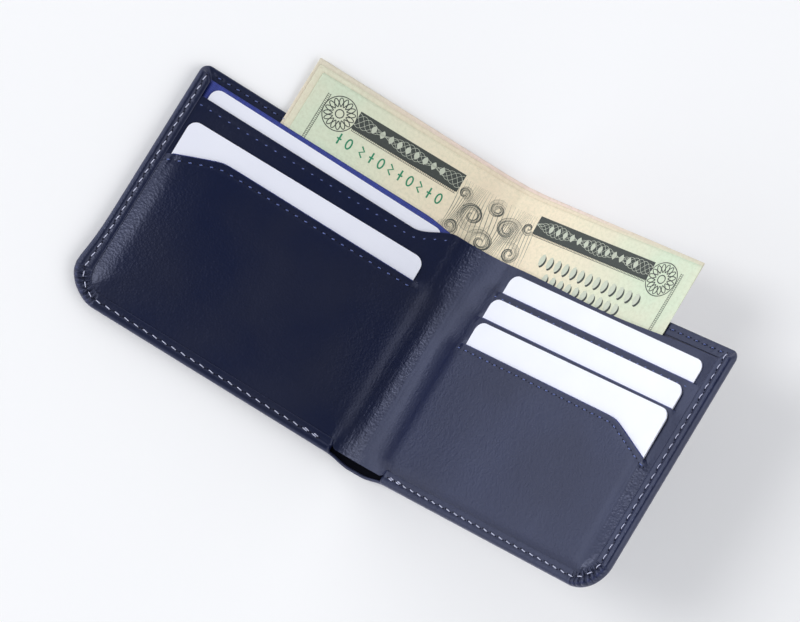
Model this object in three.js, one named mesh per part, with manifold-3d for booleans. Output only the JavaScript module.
// Bifold wallet, lying open on its back: left leaf flat, right leaf raised about the spine.
// Millimetres. +Z up, +Y along the spine towards the open note edge, +X across the wallet.
// Every leaf piece is drawn flat in leaf coordinates: s across (negative on the left leaf,
// 0 at the fold), v along the spine from the bottom edge, w up from the back of the cover.

import * as THREE from 'three';
import { mergeVertices } from 'three/addons/utils/BufferGeometryUtils.js';
import Module from 'manifold-3d';

const wasm = await Module();
wasm.setup();

// ---- driving dimensions ----
const REACH = 106.6;                        // fold axis to a leaf's outer edge
const HEIGHT = 84.5;                        // cover, bottom edge to note edge
const BEND_HALF = 9;                        // the leaves are flat beyond this distance from the fold
const AXIS_HEIGHT = 5.6;                    // fold axis above the back of the cover
const FOLD = THREE.MathUtils.degToRad(50);  // right leaf raised from flat

const CORNER = 11;                          // radius of the bottom outer corners
const TOP_CORNER = 3;                       // radius of the top outer corners
const RIM = 4.6;                            // width of the cover's turned-over rim
const RIM_START = 10.5;                     // the bottom rim begins this far from the fold
const RIM_TOP = 3.6;                        // top of the rim
const RIM_UNDER = 2.75;                     // underside of the rim
const WALL = 1;                             // thickness of the rim's outer wall
const SPINE_DROP = 1.2;                     // the cover's spine reaches this far below the bottom edge

const COVER = 0.9;                          // cover leather
const HEM = 4;                              // folded strip along the cover's top edge
const HEM_TOP = 0.95;                       // top of that strip, just proud of the cover leather
const LINING = 0.1;                         // textile linings
const NOTE = 0.1;                           // banknote solid
const DIVIDER_TOP_LEFT = 80.7;              // its top edge shows above the left pockets
const DIVIDER_TOP = 79.4;                   // and is hidden from the spine on
const DIVIDER_SPINE_BOTTOM = 2;             // its bottom edge where it crosses the spine
const DIVIDER = 0.18;                       // textile wall between notes and card pockets
const STRIP = 0.45;                         // skived inner leather between the slots
const PANEL = 0.6;                          // inner leather of the front panels and spine
const THREAD = 0.1;                         // height of a stitch row
const THREAD_WIDE = 0.5;                    // width of a stitch row
const THREAD_LIFT = 0.04;                   // gap under a stitch row
const THREAD_IN = 2.4;                      // the rim's stitch row lies this far in from the edge
const THREAD_START = 12;                    // stitch rows begin this far from the fold
const HEM_THREAD = 82;                      // lower edge of the stitch row along the hem
const GAP = 0.08;                           // gap between layers
const SIDE_GAP = 0.3;                       // gap between edges that face each other
const CUT_PAST = 5;                         // a cutting solid reaches this far past the edge it opens

const CARD = { width: 85.6, height: 53.98, corner: 3.18, thickness: 0.5 };
const NOTE_SIZE = { height: 66.3, left: 76.4, right: 77.1, top: 105.2, pitch: 0.5 };
const NOTE_COUNT = 3;
const NOTE_FAN = {                          // how much a note is short of the one behind it
  left: { end: 0.6, top: 1 },
  right: { end: 0.3, top: 0.3 },
};

const LINING_LEVEL = COVER + 0.04;
const NOTE_LEVEL = HEM_TOP + 0.23;
const DIVIDER_LEVEL = NOTE_LEVEL + NOTE_COUNT * (NOTE + GAP) + 0.02;
const SKIN_LEVEL = DIVIDER_LEVEL + DIVIDER + GAP;   // underside of the inner leather at the rim
const SKIN_EDGE = 1.3;                              // inner leather starts this far in from the edge
const SKIN_BOTTOM = 0.5;                            // its bottom edge, tucked under the rim
const SKIN_TOP_EDGE = 80;                           // its top edge on the spine and the right leaf

// Back to front. left: end nearer the left, top: middle of the top edge, tilt in degrees,
// slot: height of the slit it stands in, slope: lean of its plane, clear: gap above the strip behind.
const LEFT_CARDS = [
  { left: -99.9, top: 79.1, tilt: -0.4, slot: 74.7, slope: 0, clear: -STRIP },
  { left: -100.2, top: 67.4, tilt: 0.7, slot: 60.2, slope: 0.0095, clear: GAP },
];
const RIGHT_CARDS = [
  { left: 12.9, top: 77.6, tilt: -0.4, slot: 70.3, slope: 0.007, clear: GAP },
  { left: 12.0, top: 68.1, tilt: -0.4, slot: 60.4, slope: 0.016, clear: GAP + 0.06 },
  { left: 12.9, top: 59.4, tilt: -0.15, slot: 50.4, slope: 0.025, clear: GAP },
];

// ---- materials ----
function material(color, roughness) {
  return new THREE.MeshStandardMaterial({ color, roughness, metalness: 0 });
}
const coverLeather = () => material(0x23294a, 0.5);
const innerLeather = () => material(0x2a3054, 0.48);
const blueLining = () => material(0x1c2f86, 0.8);
const darkLining = () => material(0x171b30, 0.85);
const cardPlastic = () => material(0xe8eaf6, 0.45);
const notePaper = () => material(0xd9dcc2, 0.8);
const paleThread = () => material(0xb9b8d0, 0.7);
const blueThread = () => material(0x3f5aa0, 0.7);

// ---- solid helpers ----
function toManifold(geometry) {
  const bare = geometry.clone();
  bare.deleteAttribute('normal');
  bare.deleteAttribute('uv');
  const merged = mergeVertices(bare, 1e-5);
  return new wasm.Manifold(new wasm.Mesh({
    numProp: 3,
    vertProperties: new Float32Array(merged.attributes.position.array),
    triVerts: new Uint32Array(merged.index.array),
  }));
}

function toGeometry(solid) {
  const mesh = solid.getMesh();
  const geometry = new THREE.BufferGeometry();
  geometry.setAttribute('position', new THREE.BufferAttribute(mesh.vertProperties, 3));
  geometry.setIndex(new THREE.BufferAttribute(mesh.triVerts, 1));
  geometry.computeVertexNormals();
  return geometry;
}

function part(name, geometry, mat) {
  const mesh = new THREE.Mesh(geometry, mat);
  mesh.name = name;
  return mesh;
}

function extrude(points, low, high) {
  const shape = new THREE.Shape(points.map(([x, y]) => new THREE.Vector2(x, y)));
  const geometry = new THREE.ExtrudeGeometry(shape, {
    depth: high - low, bevelEnabled: false, steps: 1, curveSegments: 1,
  });
  geometry.translate(0, 0, low);
  return geometry;
}

// A sheet on a grid: columns at the stations across, rows at the lines given as v for each s,
// with its underside at under(s, v) and the given thickness. place() puts (s, v, w) in space.
function sheet({ across, rows, under, thickness, place }) {
  const columns = across.length - 1;
  const box = new THREE.BoxGeometry(1, 1, 1, columns, rows.length - 1, 1);
  const position = box.attributes.position;
  const point = new THREE.Vector3();
  for (let i = 0; i < position.count; i++) {
    point.fromBufferAttribute(position, i);
    const s = across[Math.round((point.x + 0.5) * columns)];
    const v = rows[Math.round((point.y + 0.5) * (rows.length - 1))](s);
    const w = under(s, v) + (point.z + 0.5) * thickness;
    position.setXYZ(i, ...(place ? place(s, v, w) : [s, v, w]));
  }
  return box;
}

const ramp = (x, from, to) => THREE.MathUtils.clamp((x - from) / (to - from), 0, 1);
const steps = (from, to, count) =>
  Array.from({ length: count + 1 }, (_, i) => THREE.MathUtils.lerp(from, to, i / count));

// ---- leaf outline ----
// Points of the edge path: from the spine along the bottom, round the corner, up to the top.
function edgePath(side, inset, start, top) {
  const radius = CORNER - inset;
  const centre = [REACH - CORNER, CORNER];
  const arc = steps(-Math.PI / 2, 0, 10).map((a) =>
    [centre[0] + radius * Math.cos(a), centre[1] + radius * Math.sin(a)]);
  const path = [[start, inset], ...arc, [REACH - inset, top]];
  return path.map(([u, v]) => [side * u, v]);
}

function leafShape(side, inset, start, top) {
  const path = edgePath(side, inset, start, top);
  return [...path, [side * start, top]];
}

function coverShape(side) {
  const path = edgePath(side, 0, BEND_HALF, HEIGHT - TOP_CORNER);
  const arc = steps(0, Math.PI / 2, 5).map((a) => [
    side * (REACH - TOP_CORNER + TOP_CORNER * Math.cos(a)),
    HEIGHT - TOP_CORNER + TOP_CORNER * Math.sin(a),
  ]);
  return [...path, ...arc.slice(1), [side * BEND_HALF, HEIGHT]];
}

// ---- cover: plate, outer wall and rim turned over the inner leather ----
function cover(name, side) {
  const past = HEIGHT + CUT_PAST;
  const start = BEND_HALF - CUT_PAST;
  const above = RIM_TOP + CUT_PAST;
  const block = toManifold(extrude(coverShape(side), 0, RIM_TOP));
  const channel = toManifold(extrude(leafShape(side, WALL, start, past), COVER, RIM_UNDER));
  const window = toManifold(extrude(leafShape(side, RIM, start, past), COVER, above));
  const spineEnd = [[0, -CUT_PAST], [RIM_START, -CUT_PAST], [RIM_START, past], [0, past]];
  const opening = toManifold(extrude(spineEnd.map(([u, v]) => [side * u, v]), COVER, above));
  const hemStart = HEIGHT - HEM;
  const hemEnd = REACH - WALL - SIDE_GAP;
  const hem = toManifold(extrude(
    [[BEND_HALF, hemStart], [hemEnd, hemStart], [hemEnd, HEIGHT], [BEND_HALF, HEIGHT]]
      .map(([u, v]) => [side * u, v]), COVER - 0.1, HEM_TOP));
  const solid = block.subtract(channel).subtract(window).subtract(opening).add(hem);
  return part(name, toGeometry(solid), coverLeather());
}

function coverLining(name, side) {
  const solid = toManifold(extrude(
    leafShape(side, WALL + SIDE_GAP, BEND_HALF, HEIGHT - HEM - SIDE_GAP),
    LINING_LEVEL, LINING_LEVEL + LINING));
  return part(name, toGeometry(solid), darkLining());
}

function divider(name, side, top) {
  const solid = toManifold(extrude(
    leafShape(side, WALL + SIDE_GAP, BEND_HALF + SIDE_GAP, top),
    DIVIDER_LEVEL, DIVIDER_LEVEL + DIVIDER));
  return part(name, toGeometry(solid), blueLining());
}

// ---- spine pieces: concentric arcs between the flat leaf and the raised one ----
const BEND_TANGENT = BEND_HALF + AXIS_HEIGHT * Math.tan(FOLD / 2);
const BEND_RADIUS = BEND_TANGENT / Math.tan(FOLD / 2);

function aroundBend(s, v, w) {
  const angle = FOLD * (s + BEND_HALF) / (2 * BEND_HALF);
  const radius = BEND_RADIUS - w;
  return [-BEND_HALF + radius * Math.sin(angle), v, BEND_RADIUS - radius * Math.cos(angle)];
}

function spinePiece(name, low, high, bottomEdge, topEdge, mat) {
  const inset = SIDE_GAP / 2;
  return part(name, sheet({
    across: steps(-BEND_HALF + inset, BEND_HALF - inset, 14),
    rows: [() => bottomEdge, () => topEdge],
    under: () => low,
    thickness: high - low,
    place: aroundBend,
  }), mat);
}

// ---- card pockets ----
// Works out each card's plane from the strip of leather behind its slot.
function stack(cards) {
  let behind = () => SKIN_LEVEL;
  return cards.map((card) => {
    const base = behind(card.slot) + STRIP + card.clear;
    const level = (v) => base + card.slope * (v - card.slot);
    const strip = behind;
    behind = (v) => level(v) + CARD.thickness + GAP;
    return { ...card, level, strip, front: behind };
  });
}
const LEFT = stack(LEFT_CARDS);
const RIGHT = stack(RIGHT_CARDS);

// 1 over the cards, falling to 0 at the rim and at the spine.
function overCards(cards, s) {
  const ends = cards.map((c) => [Math.abs(c.left), Math.abs(c.left + CARD.width)]).flat();
  const near = Math.min(...ends) - 0.3;
  const far = Math.max(...ends) + 0.45;
  const u = Math.abs(s);
  return ramp(u, BEND_HALF + SIDE_GAP, near) * ramp(u, REACH - RIM_EDGE, far);
}

function leather(cards, front, v0) {
  return (s, v) => {
    const lift = overCards(cards, s) * ramp(v, RIM_EDGE, v0);
    return THREE.MathUtils.lerp(SKIN_LEVEL, front(v), lift);
  };
}

// Edge lines of the inner leather and its slots, as v for each s.
const SWEEP = { from: -23.5, to: -9.5 };                 // the left top edge rises to the spine here
const DIP_TWO = { from: -84.5, to: -100.2, drop: 6.2 };  // slots two and five dip at their outer ends
const DIP_FIVE = { from: 81, to: 98.5, drop: 7 };
const LEAN = 0.008;                                      // the right slots fall gently outwards
const LEAN_MIDDLE = 55;

const leftTopEdge = (s) => {
  const rise = THREE.MathUtils.smoothstep(s, SWEEP.from, SWEEP.to);
  return LEFT[0].slot + (SKIN_TOP_EDGE - LEFT[0].slot) * rise;
};
const rightTopEdge = () => SKIN_TOP_EDGE;
const leaning = (slot, s) => slot - LEAN * (s - LEAN_MIDDLE);
const dip = ({ from, to, drop }, s) => drop * ramp(s, from, to);
const slotTwo = (s) => LEFT[1].slot - dip(DIP_TWO, s);
const slotThree = (s) => leaning(RIGHT[0].slot, s);
const slotFour = (s) => leaning(RIGHT[1].slot, s);
const slotFive = (s) => leaning(RIGHT[2].slot, s) - dip(DIP_FIVE, s);

const LEFT_STATIONS = [-105.3, -102, -100.6, -97, -90.5, -84.5, -60, -40,
  -23.5, -20, -17, -14, -12, -10.5, -9.3];
const RIGHT_STATIONS = [9.3, 11.7, 13, 30, 55, 75, 81, 86.5, 92, 98.5, 99.3, 102, 105.3];
const RIM_EDGE = RIM + 0.1;    // the front leather starts to rise here
const LEFT_RISE = 12.5;        // and has risen over the cards by this height
const RIGHT_RISE = 5.1;
const LEFT_PANEL_ROWS = [SKIN_BOTTOM, RIM_EDGE, 6, 8, LEFT_RISE, 25, 45];
const RIGHT_PANEL_ROWS = [SKIN_BOTTOM, RIM_EDGE, RIGHT_RISE, 8, 15, 30];
const SLOT_LAP = 0.3;          // a strip runs this far under the edge in front of it

function leatherSheet(stations, rows, cards, front, thickness, firstRise) {
  const under = leather(cards, front, firstRise);
  return toManifold(sheet({ across: stations, rows, under, thickness }));
}

// Trims the leather to fit inside the cover's wall and under its rim.
function trimmed(side, solid) {
  const high = RIM_TOP + 2 * CUT_PAST;
  const past = HEIGHT + CUT_PAST;
  const inside = toManifold(extrude(leafShape(side, SKIN_EDGE, BEND_HALF, HEIGHT), 0, high));
  const above = toManifold(extrude(leafShape(side, 0, 0, HEIGHT), RIM_UNDER - GAP, high));
  const window = toManifold(extrude(leafShape(side, RIM_EDGE + 0.05, -1, past), 0, high + 1));
  return toGeometry(solid.intersect(inside).subtract(above.subtract(window)));
}

const lowered = (line, drop) => (s) => line(s) - drop;
const middle = (a, b) => (s) => (a(s) + b(s)) / 2;
const row = (v) => () => v;
const stripRows = (low, high) => [lowered(low, SLOT_LAP), middle(low, high), high];

function innerLeatherLeft() {
  const [, second] = LEFT;
  const upper = leatherSheet(LEFT_STATIONS, stripRows(slotTwo, leftTopEdge),
    LEFT, second.strip, STRIP, LEFT_RISE);
  const panel = leatherSheet(LEFT_STATIONS, [...LEFT_PANEL_ROWS.map(row), slotTwo],
    LEFT, second.front, PANEL, LEFT_RISE);
  return part('inner_leather_left', trimmed(-1, panel.add(upper)), innerLeather());
}

function innerLeatherRight() {
  const lines = [slotThree, slotFour, slotFive];
  const tops = [rightTopEdge, slotThree, slotFour];
  let solid = leatherSheet(RIGHT_STATIONS, [...RIGHT_PANEL_ROWS.map(row), slotFive],
    RIGHT, RIGHT[2].front, PANEL, RIGHT_RISE);
  RIGHT.forEach((card, i) => {
    solid = solid.add(leatherSheet(RIGHT_STATIONS, stripRows(lines[i], tops[i]),
      RIGHT, card.strip, STRIP, RIGHT_RISE));
  });
  return part('inner_leather_right', trimmed(1, solid), innerLeather());
}

// Pocket lining behind a card, below the strip that its slot is cut in.
const LINING_IN = 0.5;      // inside the card's ends and below the slot
const LINING_FOOT = 1.5;    // above the card's lower edge
const LINING_BREAK = 8;     // middle row, this far below the slot

function pocketLining(name, card, behindLevel, lineAt) {
  const from = card.left + LINING_IN;
  const rows = [
    row(card.top - CARD.height + LINING_FOOT),
    lowered(lineAt, LINING_BREAK),
    lowered(lineAt, SLOT_LAP + LINING_IN),
  ];
  return part(name, sheet({
    across: [from, from + CARD.width / 2, from + CARD.width - 2 * LINING_IN],
    rows,
    under: (s, v) => behindLevel(v),
    thickness: LINING,
  }), blueLining());
}

function pocketLinings() {
  const above = (card) => (v) => card.level(v) + CARD.thickness + GAP - 0.02;
  return {
    left: [pocketLining('pocket_lining_1', LEFT[1], above(LEFT[0]), slotTwo)],
    right: [
      pocketLining('pocket_lining_2', RIGHT[0], () => SKIN_LEVEL, slotThree),
      pocketLining('pocket_lining_3', RIGHT[1], above(RIGHT[0]), slotFour),
      pocketLining('pocket_lining_4', RIGHT[2], above(RIGHT[1]), slotFive),
    ],
  };
}

// ---- contents ----
function cardShape() {
  const { width, height, corner } = CARD;
  const points = [];
  const corners = [[1, 1, 0], [-1, 1, 1], [-1, -1, 2], [1, -1, 3]];
  for (const [x, y, quarter] of corners) {
    for (const a of steps(quarter * Math.PI / 2, (quarter + 1) * Math.PI / 2, 6)) {
      points.push([
        x * (width / 2 - corner) + corner * Math.cos(a),
        y * (height / 2 - corner) + corner * Math.sin(a),
      ]);
    }
  }
  return points;
}

function card(name, { left, top, tilt, slope, level }) {
  const mesh = part(name, extrude(cardShape(), 0, CARD.thickness), cardPlastic());
  const centre = top - CARD.height / 2;
  mesh.position.set(left + CARD.width / 2, centre, level(centre));
  mesh.rotation.set(Math.atan(slope), 0, THREE.MathUtils.degToRad(tilt));
  return mesh;
}

// Half of a banknote. The rear note stands highest; they fan out towards the left end.
function noteHalf(name, side, index) {
  const leaf = side < 0 ? 'left' : 'right';
  const fan = NOTE_FAN[leaf];
  const low = NOTE_LEVEL + index * (NOTE + GAP);
  const end = NOTE_SIZE[leaf] - fan.end * index;
  const near = BEND_HALF + SIDE_GAP;
  const top = NOTE_SIZE.top - fan.top * NOTE_SIZE.pitch * index;
  const bottom = top - NOTE_SIZE.height;
  const outline = [[near, bottom], [end, bottom], [end, top], [near, top]];
  return part(name, extrude(outline.map(([u, v]) => [side * u, v]), low, low + NOTE), notePaper());
}

// ---- stitch rows ----
function rimThread(name, side) {
  const end = HEIGHT - HEM;
  const outer = edgePath(side, THREAD_IN, THREAD_START, end);
  const inner = edgePath(side, THREAD_IN + THREAD_WIDE, THREAD_START, end);
  const low = RIM_TOP + THREAD_LIFT;
  return part(name, extrude([...outer, ...inner.reverse()], low, low + THREAD), paleThread());
}

function hemThread(name, side) {
  const low = HEM_TOP + THREAD_LIFT;
  const top = HEM_THREAD + THREAD_WIDE;
  const end = REACH - RIM;
  const outline = [[THREAD_START, HEM_THREAD], [end, HEM_THREAD], [end, top], [THREAD_START, top]];
  return part(name, extrude(outline.map(([u, v]) => [side * u, v]), low, low + THREAD), blueThread());
}

function slotThread(name, across, line, drop, surface) {
  return part(name, sheet({
    across,
    rows: [lowered(line, drop + THREAD_WIDE / 2), lowered(line, drop - THREAD_WIDE / 2)],
    under: (s, v) => surface(s, v) + THREAD_LIFT,
    thickness: THREAD,
  }), blueThread());
}

function slotThreads() {
  const on = (cards, front, thickness, rise) => (s, v) => leather(cards, front, rise)(s, v) + thickness;
  const inner = (stations) => stations.slice(3, -2);
  return {
    left: [
      slotThread('slot_thread_1', [...steps(-98, -24, 6), -20.5, -17.5, -14.5],
        leftTopEdge, 2.3, on(LEFT, LEFT[1].strip, STRIP, LEFT_RISE)),
      slotThread('slot_thread_2', [-99.6, -97, -90.5, -84.5, ...steps(-80, -14.8, 5)],
        slotTwo, 2, on(LEFT, LEFT[1].front, PANEL, LEFT_RISE)),
    ],
    right: [
      slotThread('slot_thread_3', inner(RIGHT_STATIONS),
        slotThree, 1, on(RIGHT, RIGHT[1].strip, STRIP, RIGHT_RISE)),
      slotThread('slot_thread_4', inner(RIGHT_STATIONS),
        slotFive, 2, on(RIGHT, RIGHT[2].front, PANEL, RIGHT_RISE)),
    ],
  };
}

// ---- assembly ----
const linings = pocketLinings();
const threads = slotThreads();
const notes = Array.from({ length: NOTE_COUNT }, (_, i) => i);

const leftLeaf = new THREE.Group();
leftLeaf.add(
  cover('cover_left', -1),
  spinePiece('cover_spine', 0, COVER, -SPINE_DROP, HEIGHT, coverLeather()),
  coverLining('cover_lining_left', -1),
  divider('divider_left', -1, DIVIDER_TOP_LEFT),
  spinePiece('divider_spine', DIVIDER_LEVEL, DIVIDER_LEVEL + DIVIDER,
    DIVIDER_SPINE_BOTTOM, DIVIDER_TOP, blueLining()),
  ...linings.left,
  innerLeatherLeft(),
  spinePiece('inner_leather_spine', SKIN_LEVEL, SKIN_LEVEL + PANEL,
    SKIN_BOTTOM, SKIN_TOP_EDGE, innerLeather()),
  ...LEFT.map((data, i) => card(`card_${i + 1}`, data)),
  ...notes.map((i) => noteHalf(`banknote_${i + 1}_left`, -1, i)),
  rimThread('rim_thread_left', -1),
  hemThread('hem_thread_left', -1),
  ...threads.left,
);

// The right leaf is drawn flat, then turned up about the fold axis.
const rightFlat = new THREE.Group();
rightFlat.position.z = -AXIS_HEIGHT;
rightFlat.add(
  cover('cover_right', 1),
  coverLining('cover_lining_right', 1),
  divider('divider_right', 1, DIVIDER_TOP),
  ...linings.right,
  innerLeatherRight(),
  ...RIGHT.map((data, i) => card(`card_${i + 3}`, data)),
  ...notes.map((i) => noteHalf(`banknote_${i + 1}_right`, 1, i)),
  rimThread('rim_thread_right', 1),
  hemThread('hem_thread_right', 1),
  ...threads.right,
);
const rightLeaf = new THREE.Group();
rightLeaf.position.z = AXIS_HEIGHT;
rightLeaf.rotation.y = -FOLD;
rightLeaf.add(rightFlat);

// The origin is the middle of the whole object's footprint, on the surface it lies on.
const wallet = new THREE.Group();
wallet.add(leftLeaf, rightLeaf);
const box = new THREE.Box3().setFromObject(wallet, true);
wallet.position.set(-(box.min.x + box.max.x) / 2, -(box.min.y + box.max.y) / 2, -box.min.z);

export default wallet;
